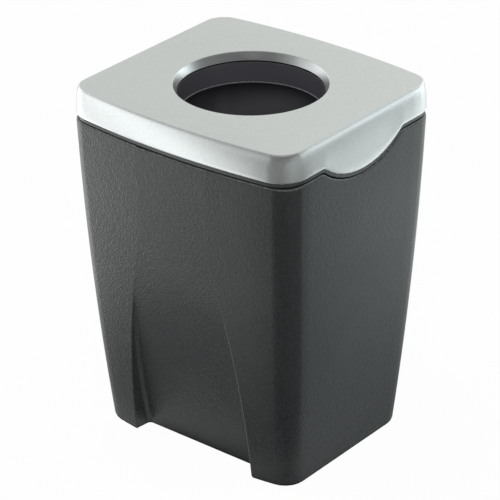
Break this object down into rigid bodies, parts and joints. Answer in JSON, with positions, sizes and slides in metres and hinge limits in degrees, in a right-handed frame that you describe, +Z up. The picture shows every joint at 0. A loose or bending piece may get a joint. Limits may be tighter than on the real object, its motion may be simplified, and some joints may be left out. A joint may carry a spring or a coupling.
{
  "type": "paper clip holder",
  "caption": "Desk clip holder: tapered bowed cup with sunk panels, lift-off silver lid with finger lobes and a round magnetic mouth.",
  "frame": {"origin": "on the table, under the middle of the holder", "axes": "+Z up; the front, with its sunk panel, faces -Y; the lid's two finger lobes are at -X and +X"},
  "size_m": [0.061, 0.056, 0.083],
  "materials": {
    "cup_plastic": "charcoal, finely grained",
    "pad_rubber": "matte black",
    "lid_silver": "satin silver paint on a moulded cover",
    "frame_plastic": "dark grey, satin",
    "collar_black": "polished black",
    "magnet_plate": "nickel plated"
  },
  "bodies": {
    "cup": {"cup": "cup_plastic", "foot_pad_front_left": "pad_rubber", "foot_pad_front_right": "pad_rubber", "foot_pad_back_left": "pad_rubber", "foot_pad_back_right": "pad_rubber"},
    "lid": {"lid_cover": "lid_silver", "lid_frame": "frame_plastic", "mouth_collar": "collar_black", "magnet_ring": "magnet_plate"}
  },
  "joints": [
    {"name": "lid_lift", "type": "slide", "parent": "cup", "child": "lid", "axis": [0, 0, 1], "range_m": [0, 0.04]}
  ]
}
